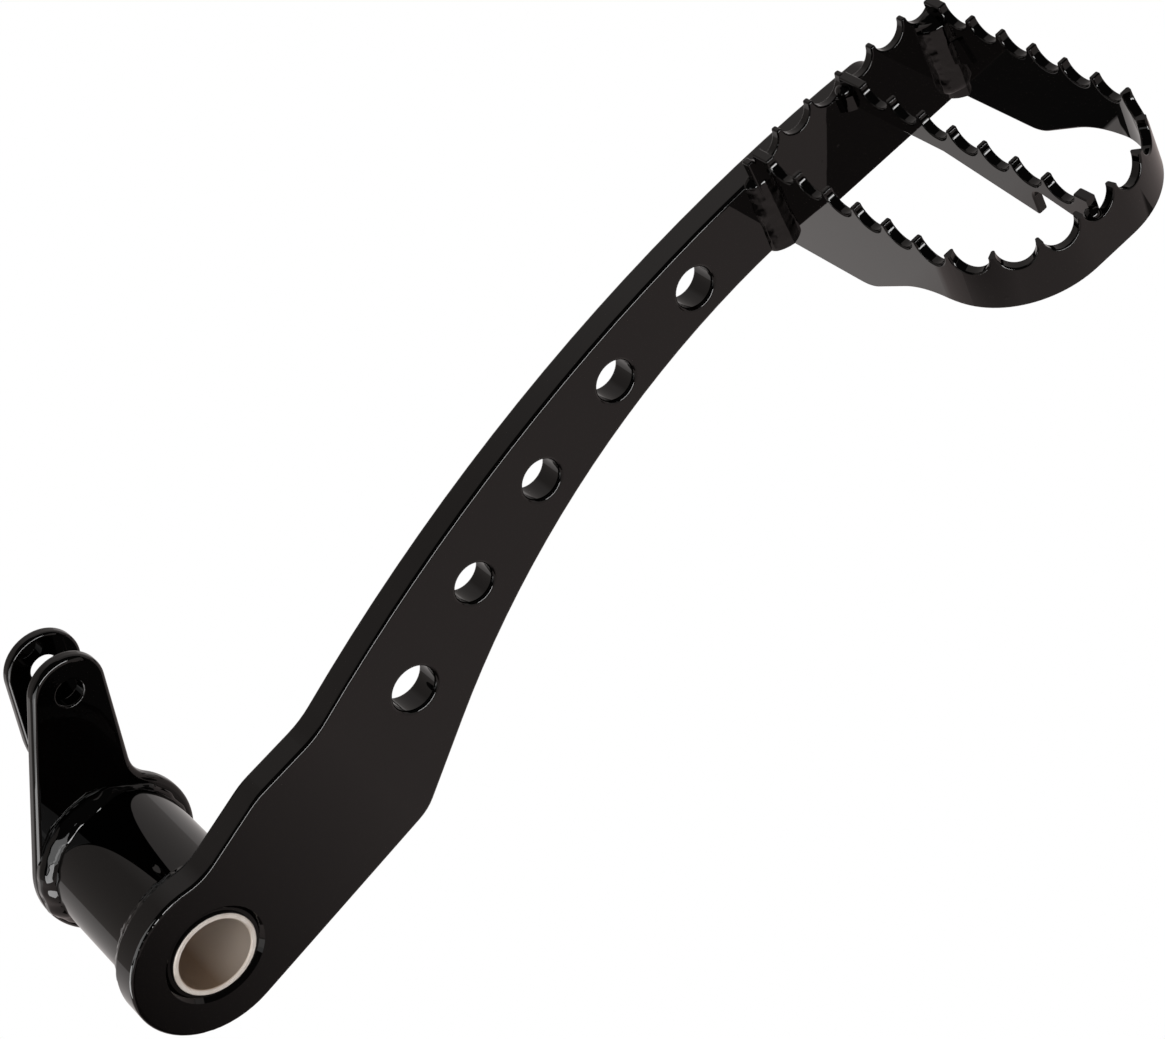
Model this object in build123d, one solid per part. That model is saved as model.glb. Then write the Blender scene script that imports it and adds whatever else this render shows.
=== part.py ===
from build123d import *
from math import acos, asin, atan2, cos, degrees, pi, radians, sin, sqrt, tan
import os

# Foot-brake arm of a motorcycle: a laser-cut arm with a row of lightening holes, a bushed pivot tube with a
# two-ear clevis at one end, and a serrated foot pad with two windows at the other, all welded together.
# The origin is on the pivot axis, half way through the arm plate. X runs from the pivot towards the pad, the
# pad sticks out to -Y, the pivot tube and the ears to +Y, and the pad's teeth and the ears point to +Z.

# Arm plate
arm_thick = 7.94
arm_edge = 1.0  # rounding all round both faces
eye_radius = 22.1
belly_slope = 8.65  # degrees, lower edge from the eye to the knee
knee_x = 60.3
knee_radius = 12.0
throat_slope = 37.9  # degrees, lower edge above the knee
throat_radius = 215.8
arm_low = 47.4  # lower edge at the pad, level with the pad's lower edge
crest_x = 223.4  # where the arched upper edge runs level
arm_height = 21.55  # at the crest
notch = (49.2, 30.6)  # foot of the arched edge
notch_radius = 25.0
shoulder = (29.5, 28.6)
shoulder_radius = 20.0
shoulder_slope = 20.2  # degrees, upper edge from the eye to the shoulder
root_radius = 15.0
arm_reach = 42.0  # from the pad's near wall to the arm's end
arm_end_corner = 5.0

# Lightening holes, one large and four small, on an arc under the crest
hole_row_radius = 314.0
hole_row_drop = 11.05
hole_pitch = 28.5
hole_lead = 7.6  # degrees on the arc from the crest to the last hole
hole_count = 5
large_hole_radius = 5.95
small_hole_radius = 5.16
hole_edge = 1.0

# Pivot tube and its two bushings
tube_radius = 18.5
bushing_radius = 11.11
bushing_bore = 9.525
bushing_length = 25.4
bushing_edge = 0.4
nose_wall = 1.0  # wall of the turned nose that goes through the arm
nose_recess = 1.0
nose_gap = 0.05
tube_stub = 4.2  # tube beyond the near ear
tube_edge = 0.8  # bevel at the tube's end

# Clevis: a broad near ear that flares to a boss round the tube, and a slim far ear with parallel sides, which
# is set off by two bends and whose foot lies on the near ear's back
ear_setback = 39.46  # from the arm's back face to the near ear
near_ear_thick = 3.97
far_ear_thick = 3.18
ear_gap = 8.5
ear_boss_wall = 2.95  # of the near ear round the tube
near_tip_radius = 9.65
far_tip_radius = 9.7
foot_height = 7.0  # flat of the far ear's foot above the tube
bend_run = 6.0  # height over which the far ear is set off
bend_radius = 4.0  # of the strap's middle line
ear_tip = (15.7, 48.35)  # centre of the clevis pin
ear_root_radius = 10.0
near_ear_edge = 1.4
far_ear_edge = 1.0
ear_bore_gap = 0.1
pin_radius = 3.6
pin_edge = 0.5

# Foot pad, all of one strip thickness
strip = 2.5
pad_near = 208.0  # outer face of the near wall
pad_width = 58.3
pad_depth = 84.0  # from the back plate's face to the hoop's outer front face
pad_height = 29.2
front_flat = 11.3  # straight run of the hoop's front between its two bends
front_height = 15.3
step_start = 28.5  # from the back plate's face to the corner where the lower edge turns up
step_slope = 28.9  # degrees
step_low_radius = 14.0
step_high_radius = 45.0
tooth_pitch = 10.16
scallop_radius = 4.4
tooth_edge = 0.5  # tips of the back plate's and the bar's teeth
strip_edge = 0.45  # rounding of the strips' other edges
back_teeth = 7
plate_corner = 1.5  # lower corners of the back plate
end_tooth_drop = 1.6
bar_first_tooth = 6.9
bar_height = 8.6  # behind the slope
bar_slope_start = 32.7  # from the back plate's face
bar_slope = 10.8  # degrees
bar_nose = 19.5  # from the bar's blunt end to the hoop's front strip
neck_height = 5.2
neck_foot_height = 9.8  # where the neck meets the hoop
neck_radius = 3.0

# Weld beads
tube_bead = 2.6
ear_bead_leg = 2.7
ear_bead_run = 4.2
back_bead = 2.4
crown = 0.35  # how far a bead's face bulges
near_bead = 2.9
near_bead_margin = 1.5
far_bead_top = (4.6, 3.0)  # along the plate and along the wall, at the top
far_bead_low = (3.4, 4.4)  # at the bottom
far_bead_lift = 1.3
far_bead_crown = 0.6
smear_thick = 0.7  # of the weld metal drawn out on the far wall
smear = ((9.7, 7.2), (12.0, 14.1), (3.7, 17.6), (2.8, 13.7), (5.6, 10.1))  # from the plate, from the top
bar_bead = 3.0
bar_ball = 2.2
front_ball = 1.9
front_ball_shift = 0.8  # towards the near wall
end_bead = 3.5

# Derived places
arm_front = -arm_thick / 2
arm_back = arm_thick / 2
arm_crest = arm_low + arm_height
nose_radius = bushing_radius + nose_wall
near_ear_front = arm_back + ear_setback
near_ear_back = near_ear_front + near_ear_thick
far_ear_front = near_ear_back + ear_gap
far_ear_back = far_ear_front + far_ear_thick
tube_end = near_ear_back + tube_stub
ear_boss_radius = tube_radius + ear_boss_wall
pad_corner = (pad_width - front_flat) / 2  # outer radius of the hoop's bends
pad_low = arm_low
pad_top = pad_low + pad_height
pad_far = pad_near + pad_width
pad_mid = pad_near + pad_width / 2
pad_back = arm_front  # the back plate lies on the arm
pad_face = pad_back - strip
pad_front = pad_face - pad_depth
arm_end = pad_near + arm_reach


def corner(face, point, radius):
    """The same face with its corner nearest to point rounded."""
    pick = face.vertices().sort_by_distance((point[0], point[1], 0))[0]
    return fillet(pick, radius)


def plate(outline, y_low, y_high):
    """Solid of an outline drawn in x, z between two y planes."""
    return extrude(Plane.XZ.offset(-y_high) * outline, amount=y_high - y_low)


def upright(outline, x_low, x_high):
    """Solid of an outline drawn in y, z between two x planes."""
    return extrude(Plane.YZ.offset(x_low) * outline, amount=x_high - x_low)


def turned(points):
    """Solid turned about the pivot axis from a profile in radius, y."""
    return revolve(make_face(Polyline(*points, close=True)), Axis.Y)


def on_line(start, slope, x):
    """Point at x on the line through start that climbs at slope degrees."""
    return (x, start[1] + (x - start[0]) * tan(radians(slope)))


def across(part, y):
    """Edges of a plate that lie in one of its faces, at y."""
    return part.edges().filter_by_position(Axis.Y, y - 0.01, y + 0.01)


def save(part, name):
    export_step(part, f"parts/{name}.step")


def arm_outline():
    belly = radians(belly_slope)
    heel = (eye_radius * sin(belly), -eye_radius * cos(belly))
    knee = on_line(heel, belly_slope, knee_x)
    throat = (knee_x + (arm_low - knee[1]) / tan(radians(throat_slope)), arm_low)
    climb = radians(shoulder_slope)
    offset = shoulder[1] * cos(climb) - shoulder[0] * sin(climb)
    along = sqrt(eye_radius**2 - offset**2)
    root = (along * cos(climb) - offset * sin(climb), along * sin(climb) + offset * cos(climb))
    run = crest_x - notch[0]
    rise = arm_crest - notch[1]
    arch_radius = (run**2 + rise**2) / (2 * rise)
    tip = (arm_end, arm_crest - arch_radius + sqrt(arch_radius**2 - (arm_end - crest_x) ** 2))
    edges = [
        Polyline((0, 0), heel, knee, throat, (arm_end, arm_low), tip),
        ThreePointArc(tip, (crest_x, arm_crest), notch),
        Polyline(notch, shoulder, root, (0, 0)),
    ]
    face = make_face(edges) + Circle(eye_radius)
    face = corner(face, knee, knee_radius)
    face = corner(face, throat, throat_radius)
    face = corner(face, notch, notch_radius)
    face = corner(face, shoulder, shoulder_radius)
    face = corner(face, root, root_radius)
    face = corner(face, (arm_end, arm_low), arm_end_corner)
    return corner(face, tip, arm_end_corner)


def hole_row():
    """Centres of the lightening holes, from the pivot outwards."""
    step = 2 * degrees(asin(hole_pitch / 2 / hole_row_radius))
    centre_z = arm_crest - hole_row_drop - hole_row_radius
    for number in reversed(range(hole_count)):
        turn = radians(hole_lead + number * step)
        yield (crest_x - hole_row_radius * sin(turn), centre_z + hole_row_radius * cos(turn))


def arm_plate():
    arm = plate(arm_outline(), arm_front, arm_back)
    arm = fillet(across(arm, arm_front) + across(arm, arm_back), arm_edge)
    holes = []
    for number, centre in enumerate(hole_row()):
        radius = small_hole_radius if number else large_hole_radius
        holes.append(Pos(*centre) * Circle(radius))
    arm -= plate(Sketch() + holes, arm_front, arm_back)
    rims = (across(arm, arm_front) + across(arm, arm_back)).filter_by(GeomType.CIRCLE)
    rims = rims.filter_by(lambda edge: edge.radius < large_hole_radius + 0.01)
    arm = fillet(rims, hole_edge)
    arm -= plate(Circle(nose_radius + nose_gap), arm_front, arm_back)
    mouth = nose_radius + nose_gap
    bevel = [(0, arm_front), (mouth + nose_recess, arm_front), (mouth, arm_front + nose_recess)]
    return arm - turned(bevel + [(0, arm_front + nose_recess)])


def pivot_tube():
    nose_end = arm_front + nose_recess
    return turned(
        [
            (bushing_radius, nose_end),
            (nose_radius, nose_end),
            (nose_radius, arm_back),
            (tube_radius, arm_back),
            (tube_radius, tube_end - tube_edge),
            (tube_radius - tube_edge, tube_end),
            (bushing_radius, tube_end),
        ]
    )


def bushing(y_low):
    """Plain bushing with both ends bevelled inside and out."""
    y_high = y_low + bushing_length
    return turned(
        [
            (bushing_bore + bushing_edge, y_low),
            (bushing_radius - bushing_edge, y_low),
            (bushing_radius, y_low + bushing_edge),
            (bushing_radius, y_high - bushing_edge),
            (bushing_radius - bushing_edge, y_high),
            (bushing_bore + bushing_edge, y_high),
            (bushing_bore, y_high - bushing_edge),
            (bushing_bore, y_low + bushing_edge),
        ]
    )


def tip_line():
    """Distance and angle of the clevis pin from the pivot."""
    return sqrt(ear_tip[0] ** 2 + ear_tip[1] ** 2), atan2(ear_tip[1], ear_tip[0])


def beside(radius, angle, centre=(0, 0)):
    """Point at radius from centre in a direction in radians."""
    return (centre[0] + radius * cos(angle), centre[1] + radius * sin(angle))


def pin_hole(ear):
    """The same ear with the clevis pin's hole, its rims lightly rounded."""
    ear -= plate(Pos(*ear_tip) * Circle(pin_radius), near_ear_front, far_ear_back)
    rims = ear.edges().filter_by(GeomType.CIRCLE).filter_by(lambda edge: edge.radius < pin_radius + 0.01)
    return fillet(rims, pin_edge)


def near_clevis_ear():
    """Plate whose pad side runs along the pin's line and whose other side is tangent to boss and tip."""
    apart, aim = tip_line()
    right = aim - pi / 2
    left = aim + acos((ear_boss_radius - near_tip_radius) / apart)
    sides = [beside(ear_boss_radius, left), beside(near_tip_radius, right)]
    sides += [beside(near_tip_radius, right, ear_tip), beside(near_tip_radius, left, ear_tip)]
    face = make_face(Polyline(*sides, close=True)) + Circle(ear_boss_radius)
    face += Pos(*ear_tip) * Circle(near_tip_radius)
    rise = sqrt(ear_boss_radius**2 - near_tip_radius**2)
    face = corner(face, beside(rise, aim, beside(near_tip_radius, right)), ear_root_radius)
    ear = plate(face, near_ear_front, near_ear_back)
    ear = fillet(across(ear, near_ear_front) + across(ear, near_ear_back), near_ear_edge)
    return pin_hole(ear - plate(Circle(tube_radius + ear_bore_gap), near_ear_front, near_ear_back))


def far_clevis_ear():
    """Strap with a round tip, bent twice, whose foot is coped to the tube."""
    apart, aim = tip_line()
    foot_y = near_ear_back + far_ear_thick / 2
    top_y = far_ear_front + far_ear_thick / 2
    bend_low = tube_radius + foot_height
    bend_high = bend_low + bend_run
    line = [(0, foot_y), (bend_low, foot_y), (bend_high, top_y), (apart + far_tip_radius, top_y)]
    strap = trace(FilletPolyline(*line, radius=bend_radius), line_width=far_ear_thick)
    side = Plane((0, 0, 0), x_dir=(cos(aim), 0, sin(aim)), z_dir=(-sin(aim), 0, cos(aim)))
    ear = extrude(side * strap, amount=far_tip_radius, both=True)
    left = aim + pi / 2
    right = aim - pi / 2
    sides = [beside(far_tip_radius, left), beside(far_tip_radius, right)]
    sides += [beside(far_tip_radius, right, ear_tip), beside(far_tip_radius, left, ear_tip)]
    face = make_face(Polyline(*sides, close=True))
    face += Pos(*ear_tip) * Circle(far_tip_radius)
    ear &= plate(face, near_ear_back, far_ear_back)
    reach = Plane((0, 0, 0), z_dir=(cos(aim), 0, sin(aim)))
    rims = ear.edges().filter_by(lambda edge: reach.to_local_coords(edge.center()).Z > foot_height)
    ear = fillet(rims, far_ear_edge)
    return pin_hole(ear - plate(Circle(tube_radius + ear_bore_gap), near_ear_back, far_ear_back))


def scallops(stations, level):
    """Round bites along the top of a strip, for cutting from its outline."""
    return Sketch() + [Pos(station, level) * Circle(scallop_radius) for station in stations]


def tooth_tips(face, level):
    """The sharp corners where the bites leave the top of a strip."""
    return face.vertices().filter_by_position(Axis.Y, level - 0.01, level + 0.01)


def pad_back_plate():
    """Toothed plate whose end teeth stand a little lower than the rest."""
    span = (back_teeth - 1) * tooth_pitch
    low_top = pad_top - end_tooth_drop
    near = pad_mid - span / 2
    far = pad_mid + span / 2
    land = tooth_pitch / 2 - scallop_radius
    first = near + tooth_pitch / 2
    last = far - tooth_pitch / 2
    points = [(near - land, pad_low), (near - land, low_top), (first, low_top), (first, pad_top)]
    points += [(last, pad_top), (last, low_top), (far + land, low_top), (far + land, pad_low)]
    face = make_face(Polyline(*points, close=True))
    face = fillet(face.vertices().filter_by_position(Axis.Y, pad_low - 0.01, pad_low + 0.01), plate_corner)
    face -= scallops([first + number * tooth_pitch for number in range(back_teeth - 1)], pad_top)
    tips = tooth_tips(face, pad_top) + tooth_tips(face, low_top)
    back = plate(fillet(tips, tooth_edge), pad_face, pad_back)
    return fillet(across(back, pad_face) + across(back, pad_back), strip_edge)


def hoop_station(along):
    """Place and facing, in degrees from -X, of a point on the hoop's middle line, from its near end."""
    bend = pad_corner - strip / 2
    wall = pad_depth - pad_corner
    turn = bend * pi / 2
    centre_y = pad_front + pad_corner
    if along < wall:
        return pad_near + strip / 2, pad_face - along, 0
    if along < wall + turn:
        angle = (along - wall) / bend
        return pad_near + pad_corner - bend * cos(angle), centre_y - bend * sin(angle), degrees(angle)
    if along < wall + turn + front_flat:
        return pad_near + pad_corner + along - wall - turn, pad_front + strip / 2, 90
    if along < wall + 2 * turn + front_flat:
        angle = (along - wall - turn - front_flat) / bend
        return pad_far - pad_corner + bend * sin(angle), centre_y - bend * cos(angle), 90 + degrees(angle)
    return pad_far - strip / 2, pad_face - (2 * wall + 2 * turn + front_flat - along), 180


def hoop_length():
    return 2 * (pad_depth - pad_corner) + pi * (pad_corner - strip / 2) + front_flat


def round_strip(hoop):
    """The same hoop with its edges rounded, but for the crests round its bends and the ends at the plate."""
    bend_y = pad_front + pad_corner
    bites_low = pad_top - scallop_radius
    free = hoop.edges().filter_by(lambda edge: edge.center().Y < pad_face - 0.1)
    walls = free.filter_by(lambda edge: edge.center().Y > bend_y + 0.5 or edge.center().Z < bites_low - 0.1)
    hoop = fillet(walls, strip_edge)
    free = hoop.edges().filter_by(lambda edge: edge.center().Y < bend_y + 0.5)
    bites = free.filter_by(lambda edge: bites_low - 0.1 < edge.center().Z < pad_top - 0.05)
    return fillet(bites, strip_edge)


def pad_hoop():
    depth = pad_depth
    outer = Pos(pad_mid, pad_face - depth / 2) * Rectangle(pad_width, depth)
    inner_depth = depth - strip
    inner = Pos(pad_mid, pad_face - inner_depth / 2) * Rectangle(pad_width - 2 * strip, inner_depth)
    for face_corner in (pad_near, pad_far):
        outer = corner(outer, (face_corner, pad_front), pad_corner)
    for face_corner in (pad_near + strip, pad_far - strip):
        inner = corner(inner, (face_corner, pad_front + strip), pad_corner - strip)
    hoop = extrude(Pos(0, 0, pad_low) * (outer - inner), amount=pad_height)
    count = 2 * int((hoop_length() - tooth_pitch) / 2 / tooth_pitch) + 1  # odd, so one is over the bar
    cutters = []
    for number in range(count):
        along = hoop_length() / 2 + (number - (count - 1) / 2) * tooth_pitch
        x, y, facing = hoop_station(along)
        bite = Cylinder(scallop_radius, 3 * strip, rotation=(0, 90, 0))
        cutters.append(Pos(x, y, pad_top) * Rot(0, 0, facing) * bite)
    hoop -= cutters
    step_y = pad_face - step_start
    front_low = pad_top - front_height
    rise = front_low - pad_low
    step_end = step_y - rise / tan(radians(step_slope))
    below = pad_low - rise
    beyond = pad_front - strip
    points = [(pad_face, pad_low), (step_y, pad_low), (step_end, front_low), (beyond, front_low)]
    under = make_face(Polyline(*points, (beyond, below), (pad_face, below), close=True))
    under = corner(under, (step_y, pad_low), step_low_radius)
    under = corner(under, (step_end, front_low), step_high_radius)
    return round_strip(hoop - upright(under, pad_near - strip, pad_far + strip))


def bar_outline():
    """Outline in y, z of the centre bar: toothed top, sloping lower edge, blunt nose, neck to the hoop."""
    front = pad_front + strip
    low = pad_top - bar_height
    slope_y = pad_face - bar_slope_start
    nose_y = front + bar_nose
    nose_low = low - (slope_y - nose_y) * tan(radians(bar_slope))
    neck = (nose_y, pad_top - neck_height)
    foot = (front, pad_top - neck_foot_height)
    under = [(pad_face, low), (slope_y, low), (nose_y, nose_low), neck, foot]
    face = make_face(Polyline((pad_face, pad_top), *under, (front, pad_top), close=True))
    face = corner(face, neck, neck_radius)
    count = int((pad_depth - strip - bar_first_tooth) / tooth_pitch)
    first = pad_face - bar_first_tooth - tooth_pitch / 2
    face -= scallops([first - number * tooth_pitch for number in range(count)], pad_top)
    tips = tooth_tips(face, pad_top).sort_by(Axis.X)
    return fillet(tips[1:-1], tooth_edge)


def pad_centre_bar():
    bar = upright(bar_outline(), pad_mid - strip / 2, pad_mid + strip / 2)
    ends = (pad_face - 0.1, pad_front + strip + 0.1)
    return fillet(bar.edges().filter_by(lambda edge: ends[1] < edge.center().Y < ends[0]), strip_edge)


def ring_bead(corner_radius, corner_y, leg, run):
    """Fillet bead round the tube: leg up the plate, run along the tube, towards +Y if run is positive."""
    toe = (corner_radius, corner_y + run)
    top = (corner_radius + leg, corner_y)
    length = sqrt(leg**2 + run**2)
    side = run / abs(run)
    middle_y = corner_y + run / 2 + crown * side * leg / length
    middle = (corner_radius + leg / 2 + crown * abs(run) / length, middle_y)
    edges = [Polyline(toe, (corner_radius, corner_y), top), ThreePointArc(top, middle, toe)]
    return revolve(make_face(edges), Axis.Y)


def corner_bead(x, y, run_x, run_y, z_low, z_high):
    """Straight fillet bead in an upright corner at x, y, with a bulging face."""
    length = sqrt(run_x**2 + run_y**2)
    middle = (x + run_x / 2 + crown * run_x / length, y + run_y / 2 + crown * run_y / length)
    start = (x + run_x, y)
    end = (x, y + run_y)
    edges = [Polyline(start, (x, y), end), ThreePointArc(end, middle, start)]
    return extrude(Pos(0, 0, z_low) * make_face(edges), amount=z_high - z_low)


def far_bead():
    """Bead inside the far corner of the pad, with metal drawn out flat on the wall near its top."""
    x = pad_far - strip
    levels = ((pad_low + far_bead_lift, far_bead_low), (pad_top - scallop_radius, far_bead_top))
    faces = []
    for level, (leg, run) in levels:
        length = sqrt(leg**2 + run**2)
        middle_y = pad_face - run / 2 - far_bead_crown * leg / length
        middle = (x - leg / 2 - far_bead_crown * run / length, middle_y)
        start = (x - leg, pad_face)
        end = (x, pad_face - run)
        edges = [Polyline(start, (x, pad_face), end), ThreePointArc(end, middle, start)]
        faces.append(Pos(0, 0, level) * make_face(edges))
    points = [(pad_face - depth, pad_top - drop) for depth, drop in smear]
    wall = Plane(origin=(x, 0, 0), x_dir=(0, 1, 0), z_dir=(1, 0, 0))
    metal = extrude(wall * make_face(Polyline(*points, close=True)), amount=-smear_thick)
    return loft(faces) + metal


os.makedirs("parts", exist_ok=True)

arm = arm_plate()
tube = pivot_tube()
back_plate = pad_back_plate()
hoop = pad_hoop()
bar = pad_centre_bar()
near_ear = near_clevis_ear()
far_ear = far_clevis_ear()

save(arm, "arm_plate")
save(tube, "pivot_tube")
save(bushing(arm_front), "bushing_near")
save(bushing(tube_end - bushing_length), "bushing_far")
save(near_ear, "clevis_ear_near")
save(far_ear, "clevis_ear_far")
save(back_plate, "pad_back_plate")
save(hoop, "pad_hoop")
save(bar, "pad_centre_bar")

save(ring_bead(tube_radius, arm_back, tube_bead, tube_bead), "weld_tube_arm")
save(ring_bead(tube_radius, near_ear_front, ear_bead_leg, -ear_bead_run) - near_ear, "weld_ear_front")
save(ring_bead(tube_radius, near_ear_back, back_bead, back_bead) - near_ear - far_ear, "weld_ear_back")

plate_near = pad_mid - ((back_teeth - 1) * tooth_pitch + tooth_pitch - 2 * scallop_radius) / 2
bead_low = arm_low + near_bead_margin
bead_high = arm_crest - near_bead_margin
save(corner_bead(plate_near, arm_front, -near_bead, -near_bead, bead_low, bead_high), "weld_pad_near")
save(far_bead(), "weld_pad_far")
save(corner_bead(arm_end, pad_back, end_bead, end_bead, bead_low, bead_high), "weld_arm_end")

bar_near = pad_mid - strip / 2
ball = Pos(bar_near, pad_face, pad_top - scallop_radius) * Sphere(bar_ball)
seam = corner_bead(bar_near, pad_face, -bar_bead, -bar_bead, pad_top - bar_height, pad_top - scallop_radius)
save(seam + ball - back_plate - bar, "weld_bar_back")
front_centre = Pos(pad_mid - front_ball_shift, pad_front + strip, pad_top - scallop_radius)
front_joint = front_centre * Sphere(front_ball)
save(front_joint - bar - hoop, "weld_bar_front")
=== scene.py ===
import bpy
from math import atan2, cos, degrees, pi, radians, sin, sqrt, tan
from mathutils import Matrix, Vector


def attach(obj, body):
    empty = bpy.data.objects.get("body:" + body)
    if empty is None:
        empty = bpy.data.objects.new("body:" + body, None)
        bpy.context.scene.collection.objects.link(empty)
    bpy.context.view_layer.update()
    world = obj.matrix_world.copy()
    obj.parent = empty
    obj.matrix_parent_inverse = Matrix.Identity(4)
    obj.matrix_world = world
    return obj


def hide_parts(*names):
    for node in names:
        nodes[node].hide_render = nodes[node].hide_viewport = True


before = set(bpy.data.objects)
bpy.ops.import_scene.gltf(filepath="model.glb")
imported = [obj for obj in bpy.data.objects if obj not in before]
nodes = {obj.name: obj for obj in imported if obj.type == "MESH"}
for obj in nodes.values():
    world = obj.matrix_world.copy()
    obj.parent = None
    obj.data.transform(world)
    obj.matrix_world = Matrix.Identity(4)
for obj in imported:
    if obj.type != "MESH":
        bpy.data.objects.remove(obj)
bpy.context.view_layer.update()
print("frame loaded")


def deselectAll():
    if bpy.context.object and bpy.context.object.mode != "OBJECT":
        bpy.ops.object.mode_set(mode="OBJECT")
    bpy.ops.object.select_all(action="DESELECT")


def selectOnly(piece):
    deselectAll()
    piece.select_set(True)
    bpy.context.view_layer.objects.active = piece


def applyPlace():
    bpy.ops.object.transform_apply(location=True, rotation=True, scale=True)


def nodeBox(name):
    points = [vertex.co for vertex in nodes[name].data.vertices]
    low = Vector([round(min(point[axis] for point in points), 6) for axis in range(3)])
    high = Vector([round(max(point[axis] for point in points), 6) for axis in range(3)])
    return low, high


# Materials: all patterns read Object coordinates, in metres

def newMaterial(name):
    material = bpy.data.materials.new(name)
    material.use_nodes = True
    shader = material.node_tree.nodes["Principled BSDF"]
    place = material.node_tree.nodes.new("ShaderNodeTexCoord")
    return material, shader, place.outputs["Object"]


def newBareMaterial(name):
    material = bpy.data.materials.new(name)
    material.use_nodes = True
    material.node_tree.nodes.clear()
    output = material.node_tree.nodes.new("ShaderNodeOutputMaterial")
    place = material.node_tree.nodes.new("ShaderNodeTexCoord")
    return material, output.inputs["Surface"], place.outputs["Object"]


def feed(material, socket, value):  # value is a plain value or another node's output
    if isinstance(value, bpy.types.NodeSocket):
        material.node_tree.links.new(value, socket)
    else:
        socket.default_value = value


def addNoise(material, place, scale, detail=2.0):
    noise = material.node_tree.nodes.new("ShaderNodeTexNoise")
    noise.inputs["Scale"].default_value = scale
    noise.inputs["Detail"].default_value = detail
    material.node_tree.links.new(place, noise.inputs["Vector"])
    return noise.outputs["Fac"]


def addRange(material, value, low, high, toLow=0.0, toHigh=1.0):
    remap = material.node_tree.nodes.new("ShaderNodeMapRange")
    remap.inputs["From Min"].default_value = low
    remap.inputs["From Max"].default_value = high
    remap.inputs["To Min"].default_value = toLow
    remap.inputs["To Max"].default_value = toHigh
    material.node_tree.links.new(value, remap.inputs["Value"])
    return remap.outputs["Result"]


def addBump(material, height, distance, under=None):
    bump = material.node_tree.nodes.new("ShaderNodeBump")
    bump.inputs["Distance"].default_value = distance
    material.node_tree.links.new(height, bump.inputs["Height"])
    if under:
        material.node_tree.links.new(under, bump.inputs["Normal"])
    return bump.outputs["Normal"]


def addBlend(material, value, first, second):
    blend = material.node_tree.nodes.new("ShaderNodeMix")
    blend.data_type = "RGBA"
    material.node_tree.links.new(value, blend.inputs[0])
    feed(material, blend.inputs[6], first)  # the node's two colours are its sockets 6 and 7
    feed(material, blend.inputs[7], second)
    return blend.outputs[2]


def addVectorMath(material, place, operation, other=None):
    step = material.node_tree.nodes.new("ShaderNodeVectorMath")
    step.operation = operation
    material.node_tree.links.new(place, step.inputs[0])
    if other:
        step.inputs[1].default_value = other
    return step.outputs


def addReach(material, place):  # distance from the pivot axis
    flat = addVectorMath(material, place, "MULTIPLY", (1, 0, 1))["Vector"]
    return addVectorMath(material, flat, "LENGTH")["Value"]


def addAlong(material, place, way):
    return addVectorMath(material, place, "DOT_PRODUCT", way)["Value"]


def mixShaders(material, value, first, second, surface):
    mix = material.node_tree.nodes.new("ShaderNodeMixShader")
    feed(material, mix.inputs["Fac"], value)
    material.node_tree.links.new(first.outputs[0], mix.inputs[1])
    material.node_tree.links.new(second.outputs[0], mix.inputs[2])
    material.node_tree.links.new(mix.outputs[0], surface)


blackCoat = {
    "thin": (0.0009, 0.0007, 0.0006, 1),
    "thick": (0.0005, 0.0004, 0.0004, 1),
    "cloudScale": 45,  # where the coat is thick or thin
    "cloudSpan": (0.35, 0.65),
    "roughness": 0.5,  # of what lies under the coat
    "gloss": 1.0,
    "coatIor": 1.47,
    "haze": 0.012,
    "peelScale": 170,  # slow waves of the powder coat, per metre
    "peelHeight": 0.000004,
    "nibScale": 520,  # dust nibs under the coat
    "nibSpan": (0.8, 0.9),
    "nibHeight": 0.000006,
}
weldPits = {
    "scale": 900,
    "height": 0.000006,
}


def makeCoat(name, look, pits=None):
    material, shader, place = newMaterial(name)
    clouds = addRange(material, addNoise(material, place, look["cloudScale"]), *look["cloudSpan"])
    feed(material, shader.inputs["Base Color"], addBlend(material, clouds, look["thin"], look["thick"]))
    shader.inputs["Roughness"].default_value = look["roughness"]
    shader.inputs["Specular IOR Level"].default_value = 0.0
    shader.inputs["Coat Weight"].default_value = look["gloss"]
    shader.inputs["Coat IOR"].default_value = look["coatIor"]
    shader.inputs["Coat Roughness"].default_value = look["haze"]
    peel = addNoise(material, place, look["peelScale"], 1.0)
    nibs = addRange(material, addNoise(material, place, look["nibScale"], 0.0), *look["nibSpan"])
    normal = addBump(material, peel, look["peelHeight"])
    normal = addBump(material, nibs, look["nibHeight"], normal)
    if pits:
        normal = addBump(material, addNoise(material, place, pits["scale"]), pits["height"], normal)
    feed(material, shader.inputs["Coat Normal"], normal)
    return material


bushingMetal = {
    "light": (0.80, 0.735, 0.67, 1),
    "dark": (0.66, 0.585, 0.52, 1),
    # The bore's light and dark colours are painted light and painted shade, standing in for how the lamp
    # falls inside it
    "borePaintedLight": (0.78, 0.69, 0.60, 1),
    "borePaintedShade": (0.33, 0.235, 0.165, 1),
    "borePaintedLightWay": (0.8, 0, -0.6),  # painted light and shade: the bore is coloured lighter on this side and darker on the other
    "borePaintedLightSpan": (0.002, 0.011),
    "boreRadius": (0.00955, 0.0098),
    "outsidePaintedShade": (0.007, 0.006, 0.005, 1),  # painted shade: the outer side is black so that the groove around the bushing stays dark
    "paintedShadeRadius": (0.01095, 0.01105),
    "metal": 0.4,
    "roughness": (0.46, 0.38),  # where it is dark and where it is light
    "cloudScale": 320,
    "cloudSpan": (0.3, 0.65),
    "grainScale": 5200,
    "grainHeight": 0.000002,
}


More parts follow.
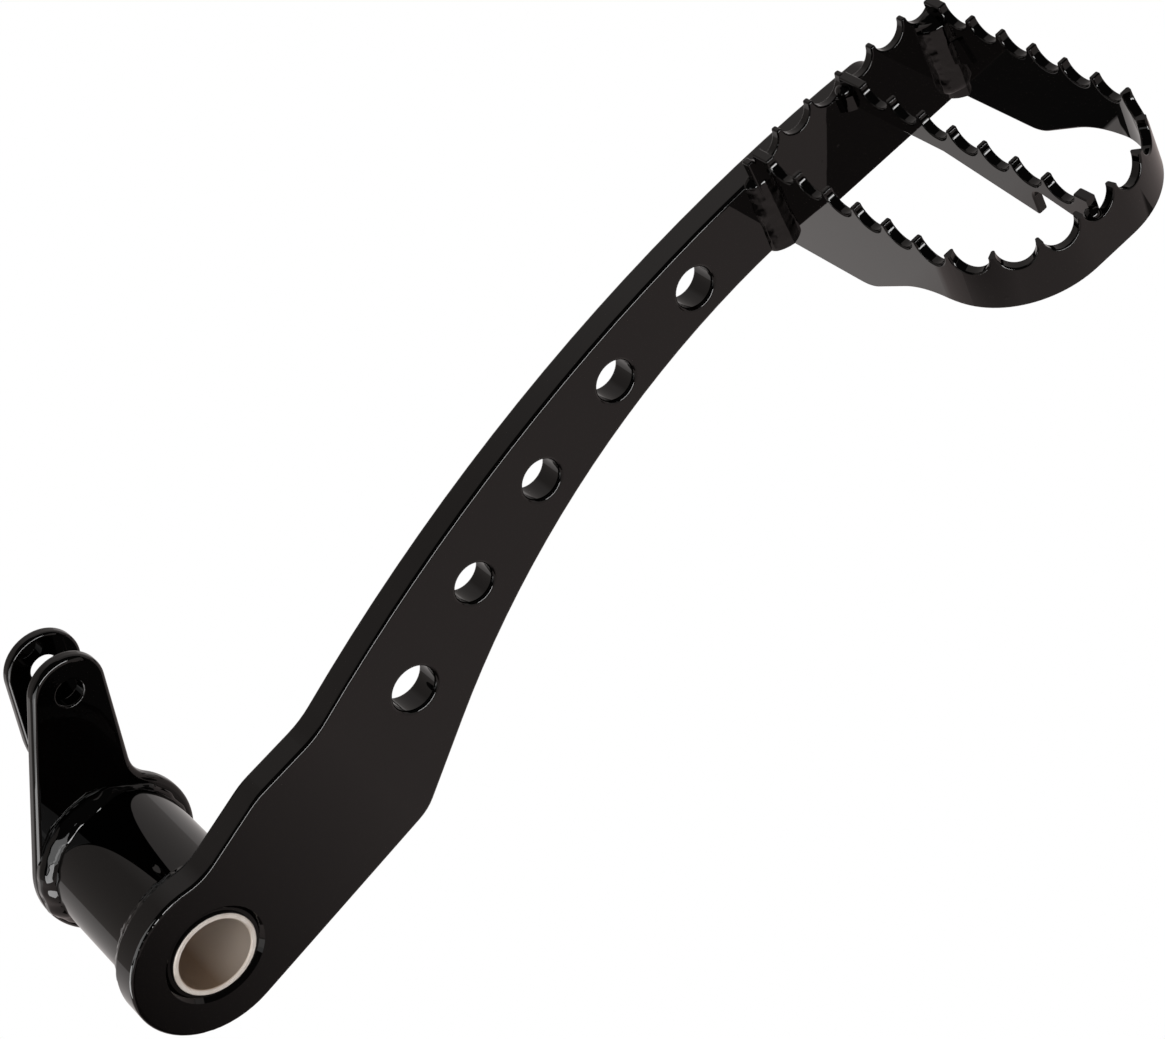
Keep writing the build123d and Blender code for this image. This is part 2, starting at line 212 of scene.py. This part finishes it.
def makeBushingMetal(look):
    material, shader, place = newMaterial("paleBronze")
    clouds = addRange(material, addNoise(material, place, look["cloudScale"], 4.0), *look["cloudSpan"])
    # painted light and shade in the bore: a blend from the shaded colour to the lit colour along one
    # direction
    paintedBoreLight = addRange(material, addAlong(material, place, look["borePaintedLightWay"]), *look["borePaintedLightSpan"])
    radius = addReach(material, place)
    pastBore = addRange(material, radius, *look["boreRadius"])
    # painted shade: past this radius the bushing is black, which darkens the groove it sits in
    inPaintedShade = addRange(material, radius, *look["paintedShadeRadius"])
    bore = addBlend(material, paintedBoreLight, look["borePaintedShade"], look["borePaintedLight"])
    end = addBlend(material, clouds, look["dark"], look["light"])
    metal = addBlend(material, pastBore, bore, end)
    feed(material, shader.inputs["Base Color"], addBlend(material, inPaintedShade, metal, look["outsidePaintedShade"]))
    shader.inputs["Metallic"].default_value = look["metal"]
    feed(material, shader.inputs["Roughness"], addRange(material, clouds, 0.0, 1.0, *look["roughness"]))
    grain = addNoise(material, place, look["grainScale"])
    feed(material, shader.inputs["Normal"], addBump(material, grain, look["grainHeight"]))
    return material


coatMaterial = makeCoat("blackCoat", blackCoat)
weldMaterial = makeCoat("coatedWeld", blackCoat, weldPits)
bronzeMaterial = makeBushingMetal(bushingMetal)
for name, node in nodes.items():
    if name.startswith("bushing"):
        material = bronzeMaterial
    elif name.startswith("weld"):
        material = weldMaterial
    else:
        material = coatMaterial
    for place in node.material_slots:
        place.material = material
print("materials made")


# Weld beads: each is a bar sunk in its corner, cut flush just inside the metal it joins, and made uneven

armLow, armHigh = nodeBox("arm_plate")
tubeRadius = nodeBox("pivot_tube")[1].x
earLow, earHigh = nodeBox("clevis_ear_near")
hoopLow, hoopHigh = nodeBox("pad_hoop")
backPlateLow, backPlateHigh = nodeBox("pad_back_plate")
padStrip = backPlateHigh.y - backPlateLow.y

beadLook = {
    "bite": 0.0004,  # how deep the cut faces lie in the metal
    "touch": 0.000001,  # a point this near a cut counts as on it
    "sides": 24,
    "around": 300,
    "end": 0.6,  # length of a straight bead's rounded end, in radii of its bar
    "seam": 0.00005,  # from the end's widest ring to the cut where the bar is drawn out
    "voxel": 0.0003,
    "relax": 4,
}


def barRadius(look):  # in legs
    return sqrt((1 + look["sink"]) ** 2 + look["sink"] ** 2)


def cutBead(bead, place, normal):
    selectOnly(bead)
    bpy.ops.object.mode_set(mode="EDIT")
    bpy.ops.mesh.select_all(action="SELECT")
    bpy.ops.mesh.bisect(
        plane_co=place, plane_no=normal, use_fill=True, clear_outer=True, threshold=beadLook["touch"]
    )
    bpy.ops.object.mode_set(mode="OBJECT")


def slimBead(bead, look):
    start, end, fade = look["heavy"]
    for vertex in bead.data.vertices:
        turn = degrees(atan2(vertex.co.x, vertex.co.z))
        away = max(start - turn, turn - end, 0)
        thin = 1 - (1 - look["thin"]) * min(away / fade, 1)
        reach = sqrt(vertex.co.x**2 + vertex.co.z**2)
        if reach > look["radius"]:
            grow = (look["radius"] + (reach - look["radius"]) * thin) / reach
            vertex.co.x *= grow
            vertex.co.z *= grow
        vertex.co.y = look["plate"] + (vertex.co.y - look["plate"]) * thin


def swellBead(bead, lumps):
    for size, strength in lumps:
        pattern = bpy.data.textures.new("weldLumps", "CLOUDS")
        pattern.noise_scale = size
        pattern.noise_depth = 1
        swell = bead.modifiers.new("swell", "DISPLACE")
        swell.texture = pattern
        swell.texture_coords = "LOCAL"
        swell.strength = strength
        selectOnly(bead)
        bpy.ops.object.modifier_apply(modifier="swell")


def finishBead(bead, name, node):
    bead.name = name
    selectOnly(bead)
    bpy.ops.object.shade_smooth()
    bead.data.materials.clear()
    bead.data.materials.append(weldMaterial)
    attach(bead, "root")
    if node:
        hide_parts(node)


def makeRingBead(name, node, look):
    side = 1 if look["run"] > 0 else -1
    run = abs(look["run"])
    deselectAll()
    bpy.ops.mesh.primitive_torus_add(
        major_segments=beadLook["around"],
        minor_segments=beadLook["sides"],
        major_radius=look["radius"] - look["sink"] * look["leg"],
        minor_radius=barRadius(look) * look["leg"],
        rotation=(pi / 2, 0, 0),
    )
    bead = bpy.context.object
    bead.scale = (1, 1, run / look["leg"])
    bead.location = (0, look["plate"] - side * look["sink"] * run, 0)
    applyPlace()
    if "heavy" in look:
        slimBead(bead, look)
    swellBead(bead, look["lumps"])
    cutBead(bead, (0, look["plate"] - side * beadLook["bite"], 0), (0, -side, 0))
    finishBead(bead, name, node)


def drawOut(bead, middle, length):  # lengthens an upright bar at the height middle
    bpy.ops.object.mode_set(mode="EDIT")
    bpy.ops.mesh.select_all(action="SELECT")
    bpy.ops.mesh.bisect(plane_co=(0, 0, middle + beadLook["seam"]), plane_no=(0, 0, 1))
    bpy.ops.mesh.select_all(action="DESELECT")
    bpy.ops.object.mode_set(mode="OBJECT")
    for vertex in bead.data.vertices:
        vertex.select = vertex.co.z > middle + beadLook["seam"] / 2
    bpy.ops.object.mode_set(mode="EDIT")
    bpy.ops.transform.translate(value=(0, 0, length))
    bpy.ops.object.mode_set(mode="OBJECT")


def makeStraightBead(name, node, look):
    x, y = look["corner"]
    legX, legY = look["legs"]
    low, high = look["span"]
    radiusX = barRadius(look) * abs(legX)
    radiusY = barRadius(look) * abs(legY)
    end = radiusX * beadLook["end"]
    deselectAll()
    sides = beadLook["sides"]
    bpy.ops.mesh.primitive_uv_sphere_add(segments=sides, ring_count=sides // 2, radius=1)
    bead = bpy.context.object
    bead.scale = (radiusX, radiusY, end)
    bead.location = (x - look["sink"] * legX, y - look["sink"] * legY, low + end)
    applyPlace()
    drawOut(bead, low + end, high - low - 2 * end)
    melt = bead.modifiers.new("melt", "REMESH")
    melt.mode = "VOXEL"
    melt.voxel_size = beadLook["voxel"]
    bpy.ops.object.modifier_apply(modifier="melt")
    swellBead(bead, look["lumps"])
    relax = bead.modifiers.new("relax", "SMOOTH")
    relax.iterations = beadLook["relax"]
    bpy.ops.object.modifier_apply(modifier="relax")
    sideX = 1 if legX > 0 else -1
    sideY = 1 if legY > 0 else -1
    cutBead(bead, (x - sideX * beadLook["bite"], 0, 0), (-sideX, 0, 0))
    cutBead(bead, (0, y - sideY * beadLook["bite"], 0), (0, -sideY, 0))
    cutBead(bead, (0, 0, look["foot"]), (0, 0, -1))
    finishBead(bead, name, node)


tubeArmBead = {
    "sink": 0.35,  # how far the bar's middle lies behind the corner, in legs
    "radius": tubeRadius,
    "plate": armHigh.y,
    "leg": 0.0031,
    "run": 0.0036,
    "lumps": ((0.0022, 0.0009), (0.0007, 0.0003)),  # size and height
}
earFrontBead = {
    "sink": 0.7,
    "radius": tubeRadius,
    "plate": earLow.y,
    "leg": 0.0027,
    "run": -0.0038,
    "heavy": (-95, 12, 25),  # full size between two degrees from +Z towards +X, slim over the third
    "thin": 0.4,
    "lumps": ((0.009, 0.0012), (0.0045, 0.0007)),
}
earBackBead = {
    "sink": 0.35,
    "radius": tubeRadius,
    "plate": earHigh.y,
    "leg": 0.0022,
    "run": 0.0022,
    "lumps": ((0.004, 0.0009), (0.0016, 0.0004)),
}
padNearBead = {
    "sink": 0.35,
    "corner": (hoopLow.x, armLow.y),
    "legs": (-0.0045, -0.0032),  # wide enough to bury the back plate's land
    "span": (0.0440, 0.0705),
    "foot": 0.0475,
    "lumps": ((0.006, 0.0005), (0.0018, 0.0002)),
}
padFarBead = {  # laid over weld_pad_far, whose drawn-out metal stays in sight
    "sink": 0.35,
    "corner": (hoopHigh.x - padStrip, backPlateLow.y),
    "legs": (-0.0050, -0.0047),
    "span": (0.0484, 0.0738),
    "foot": 0.0487,
    "lumps": ((0.006, 0.0004), (0.0018, 0.0002)),
}
armEndBead = {
    "sink": 0.35,
    "corner": (armHigh.x, armLow.y),
    "legs": (0.0034, 0.0034),
    "span": (0.0489, 0.0672),
    "foot": 0.0489,
    "lumps": ((0.003, 0.0010), (0.001, 0.0004)),
}
makeRingBead("beadTubeArm", "weld_tube_arm", tubeArmBead)
makeRingBead("beadEarFront", "weld_ear_front", earFrontBead)
makeRingBead("beadEarBack", "weld_ear_back", earBackBead)
makeStraightBead("beadPadNear", "weld_pad_near", padNearBead)
makeStraightBead("beadPadFar", None, padFarBead)
makeStraightBead("beadArmEnd", "weld_arm_end", armEndBead)
print("weld beads made")


# Studio: a white floor and backdrop for the camera, which the gloss sees as the toned room it stands in

studioLook = {
    "floorZ": -0.36,
    "floorRadius": 2.6,
    "wallRadius": 2.5,
    "sides": 96,
    "frontTop": 7,  # degrees above the horizon, as the object sees it
    "backTop": 62,
    "frontGloss": (0.46, 0.395, 0.38, 1),
    "backGloss": (0.68, 0.64, 0.625, 1),
    "floorSpan": (0.30, 0.36),  # along Y, where the floor turns brighter
    "wallLeft": (0.31, 0.28, 0.265, 1),
    "wallRight": (0.47, 0.435, 0.42, 1),
    "wallSpan": (-0.6, 0.5),  # along X
    "air": (0.03, 0.03, 0.03, 1),
}


def addLarger(material, first, second):
    larger = material.node_tree.nodes.new("ShaderNodeMath")
    larger.operation = "MAXIMUM"
    material.node_tree.links.new(first, larger.inputs[0])
    material.node_tree.links.new(second, larger.inputs[1])
    return larger.outputs[0]


def makeBackdropMaterial(name, axis, span, tones):
    material, surface, place = newBareMaterial(name)
    parts = material.node_tree.nodes.new("ShaderNodeSeparateXYZ")
    material.node_tree.links.new(place, parts.inputs[0])
    tone = addBlend(material, addRange(material, parts.outputs[axis], *span), *tones)
    path = material.node_tree.nodes.new("ShaderNodeLightPath").outputs
    glow = material.node_tree.nodes.new("ShaderNodeEmission")
    feed(material, glow.inputs["Color"], addBlend(material, path["Is Camera Ray"], tone, (1, 1, 1, 1)))
    seen = addLarger(material, path["Is Camera Ray"], path["Is Glossy Ray"])
    seen = addLarger(material, seen, path["Is Transmission Ray"])
    diffuse = material.node_tree.nodes.new("ShaderNodeBsdfDiffuse")
    mixShaders(material, seen, diffuse, glow, surface)
    return material


def addFloor(look, material):
    deselectAll()
    bpy.ops.mesh.primitive_circle_add(
        vertices=look["sides"],
        radius=look["floorRadius"],
        fill_type="NGON",
        location=(0, 0, look["floorZ"]),
    )
    floor = bpy.context.object
    floor.name = "floor"
    applyPlace()
    floor.data.materials.append(material)


def addWall(name, top, look, material):
    middle = look["floorZ"] + 0.5
    deselectAll()
    bpy.ops.mesh.primitive_cylinder_add(
        vertices=look["sides"],
        radius=look["wallRadius"],
        depth=1,
        end_fill_type="NOTHING",
        location=(0, 0, middle),
    )
    wall = bpy.context.object
    wall.name = name
    applyPlace()
    for vertex in wall.data.vertices:
        if vertex.co.z > middle:
            vertex.co.z = look["wallRadius"] * tan(radians(top))
    wall.data.materials.append(material)
    return wall


def makeStudio(look):
    floorTones = (look["frontGloss"], look["backGloss"])
    wallTones = (look["wallLeft"], look["wallRight"])
    floorWhite = makeBackdropMaterial("floorWhite", "Y", look["floorSpan"], floorTones)
    wallWhite = makeBackdropMaterial("wallWhite", "X", look["wallSpan"], wallTones)
    addFloor(look, floorWhite)
    addWall("wallFront", look["frontTop"], look, wallWhite)
    selectOnly(addWall("wallBack", look["backTop"], look, wallWhite))
    bpy.ops.object.mode_set(mode="EDIT")
    bpy.ops.mesh.select_all(action="SELECT")
    bpy.ops.mesh.bisect(plane_co=(0, 0, 0), plane_no=(0, -1, 0), clear_outer=True)
    bpy.ops.object.mode_set(mode="OBJECT")
    world = bpy.data.worlds.new("studioAir")
    bpy.context.scene.world = world
    world.use_nodes = True
    world.node_tree.nodes["Background"].inputs["Color"].default_value = look["air"]


makeStudio(studioLook)


# Lamps: a long strip low in front draws the bright lines, a dim one stands at the side, and a soft one
# lights the bushing from above. Their width and height are in degrees, as seen from lampAim.

lampAim = (0.12, -0.02, 0.03)
lampLook = {
    "stripFront": {
        "azimuth": 0,
        "elevation": 11,
        "distance": 1.4,
        "wide": 60,
        "tall": 9,
        "strength": 14,
        "inGloss": True,
    },
    "stripSide": {
        "azimuth": -64,
        "elevation": 6,
        "distance": 1.3,
        "wide": 14,
        "tall": 26,
        "strength": 0.7,
        "inGloss": True,
    },
    "softAbove": {
        "azimuth": -45,
        "elevation": 48,
        "distance": 1.2,
        "wide": 40,
        "tall": 40,
        "strength": 2.4,
        "inGloss": False,
    },
}


def addLamp(name, place, way, wide, tall, strength):
    data = bpy.data.lights.new(name, "AREA")
    data.shape = "RECTANGLE"
    data.size = wide
    data.size_y = tall
    data.energy = strength * pi * wide * tall
    lamp = bpy.data.objects.new(name, data)
    bpy.context.scene.collection.objects.link(lamp)
    lamp.location = place
    lamp.rotation_euler = (-way).to_track_quat("Z", "Y").to_euler()
    lamp.visible_camera = False
    return lamp


def addStudioLamp(name, look):
    azimuth = radians(look["azimuth"])
    elevation = radians(look["elevation"])
    level = cos(elevation)
    back = Vector((sin(azimuth) * level, -cos(azimuth) * level, sin(elevation)))
    place = Vector(lampAim) + back * look["distance"]
    wide = 2 * look["distance"] * sin(radians(look["wide"] / 2))
    tall = 2 * look["distance"] * sin(radians(look["tall"] / 2))
    addLamp(name, place, -back, wide, tall, look["strength"]).visible_glossy = look["inGloss"]


for name, look in lampLook.items():
    addStudioLamp(name, look)


# Small lamps beside the tube, which only draw the light lines in its gloss

rimLook = {
    "rimBeadLow": {  # on the bead in front of the near ear, low down
        "place": (-0.073, 0.012, 0.0095),
        "way": (0.910, 0.414, 0),
        "wide": 0.048,
        "tall": 0.039,
        "strength": 6.0,
    },
    "rimBeadHigh": {  # on the same bead, at the top
        "place": (-0.0525, 0.005, 0.055),
        "way": (0.725, 0.652, -0.217),
        "wide": 0.067,
        "tall": 0.051,
        "strength": 2.4,
    },
    "rimEye": {  # on the eye's left rim
        "place": (-0.081, -0.041, 0.036),
        "way": (0.894, 0.447, 0),
        "wide": 0.031,
        "tall": 0.032,
        "strength": 2.5,
    },
}
for name, look in rimLook.items():
    lamp = addLamp(name, look["place"], Vector(look["way"]), look["wide"], look["tall"], look["strength"])
    lamp.visible_diffuse = False


# Flat dark boards between the object and the floor, seen by its gloss alone. A density grows along its slope:
# slope times place plus start.

boardLook = {
    "boardPlate": {  # darkens the far part of the back plate
        "corners": (
            (0.2695, -0.1103),
            (0.3030, -0.1474),
            (0.3132, -0.1572),
            (0.3635, -0.1572),
            (0.3635, -0.0493),
            (0.2868, -0.0493),
            (0.2772, -0.1044),
        ),
        "z": -0.05,
        "slope": (0, 116.7, 0),
        "start": 18.24,
        "most": 0.8,
    },
    "boardFarWall": {  # darkens the inside of the hoop's far wall
        "corners": ((0.1765, 0.045), (0.220, 0.045), (0.220, 0.170), (0.1765, 0.170)),
        "z": -0.05,
        "slope": (0, 700, 0),
        "start": -32,
        "most": 0.97,
    },
    "boardEye": {  # darkens the arm's face towards the eye
        "corners": ((-0.15, 0.0), (-0.15, -0.25), (0.075, -0.25), (0.075, 0.0)),
        "z": -0.1,
        "slope": (-10, 0, 0),
        "start": 0.70,
        "most": 0.9,
    },
}


def makeBoardMaterial(name, look):
    material, surface, place = newBareMaterial(name)
    along = addAlong(material, place, look["slope"])
    dense = addRange(material, along, -look["start"], 1 - look["start"], 0.0, look["most"])
    clear = material.node_tree.nodes.new("ShaderNodeBsdfTransparent")
    black = material.node_tree.nodes.new("ShaderNodeEmission")
    black.inputs["Strength"].default_value = 0
    mixShaders(material, dense, clear, black, surface)
    return material


def addBoard(name, look):
    deselectAll()
    bpy.ops.mesh.primitive_circle_add(vertices=len(look["corners"]), fill_type="NGON")
    board = bpy.context.object
    board.name = name
    order = [board.data.vertices[index] for index in board.data.polygons[0].vertices]
    for vertex, corner in zip(order, look["corners"]):
        vertex.co = (*corner, look["z"])
    board.data.materials.append(makeBoardMaterial(name, look))
    board.visible_camera = False
    board.visible_diffuse = False
    board.visible_shadow = False


for name, look in boardLook.items():
    addBoard(name, look)
print("studio made")


# Camera, from the photograph's own perspective

view = {
    "place": (-0.01965, -0.50255, 0.51727),
    "right": (0.722649, -0.583326, -0.370823),
    "down": (-0.658996, -0.419544, -0.624265),
    "sensor": 36,
    "lens": 94.3626,
    "clip": 0.01,
}


def addCamera(look):
    camera = bpy.data.objects.new("camera", bpy.data.cameras.new("camera"))
    bpy.context.scene.collection.objects.link(camera)
    right = Vector(look["right"])
    up = -Vector(look["down"])
    turn = Matrix((right, up, right.cross(up))).transposed().to_4x4()
    camera.matrix_world = Matrix.Translation(look["place"]) @ turn
    camera.data.sensor_width = look["sensor"]
    camera.data.lens = look["lens"]
    camera.data.clip_start = look["clip"]
    bpy.context.scene.camera = camera


addCamera(view)
bpy.context.scene.view_settings.view_transform = "Standard"
print("camera set")
